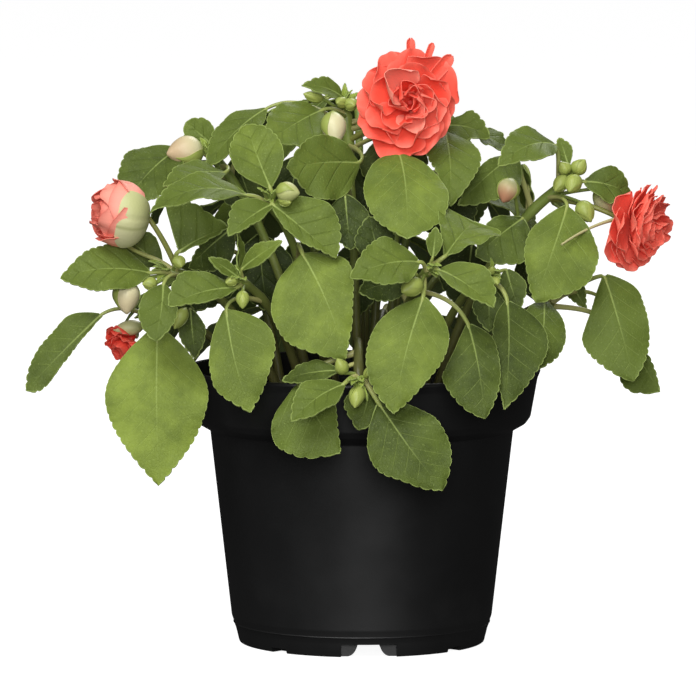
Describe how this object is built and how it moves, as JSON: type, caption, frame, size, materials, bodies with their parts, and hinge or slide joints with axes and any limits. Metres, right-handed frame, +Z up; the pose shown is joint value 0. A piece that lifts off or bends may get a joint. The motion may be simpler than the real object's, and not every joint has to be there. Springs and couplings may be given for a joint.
{
  "type": "potted busy lizzie",
  "caption": "Bushy flowering house plant with toothed oval leaves and ruffled double flowers, growing in a round black nursery pot.",
  "frame": {"origin": "on the ground under the pot's axis, on the flat underside of the pot", "axes": "+Z up along the pot's axis, -Y towards the plant's best side, +X to the right as seen from that side"},
  "size_m": [0.2328, 0.1934, 0.2177],
  "materials": {
    "pot": "satin",
    "soil": "crumbly peat",
    "shoot": "living leaf",
    "petals": "soft petal"
  },
  "bodies": {
    "root": {"pot": "pot", "soil": "soil", "shoot_1": "shoot", "shoot_2": "shoot", "shoot_3": "shoot", "shoot_4": "shoot", "shoot_5": "shoot", "shoot_6": "shoot", "shoot_7": "shoot", "shoot_8": "shoot", "shoot_9": "shoot", "shoot_10": "shoot", "shoot_11": "shoot", "shoot_12": "shoot", "shoot_13": "shoot", "shoot_14": "shoot", "shoot_15": "shoot", "shoot_back_1": "shoot", "shoot_back_2": "shoot", "shoot_back_3": "shoot", "shoot_back_4": "shoot", "shoot_back_5": "shoot", "shoot_back_6": "shoot", "shoot_back_7": "shoot", "shoot_back_8": "shoot", "bloom_top": "petals", "bloom_right": "petals", "bloom_left": "petals", "bloom_low": "petals"}
  },
  "joints": []
}
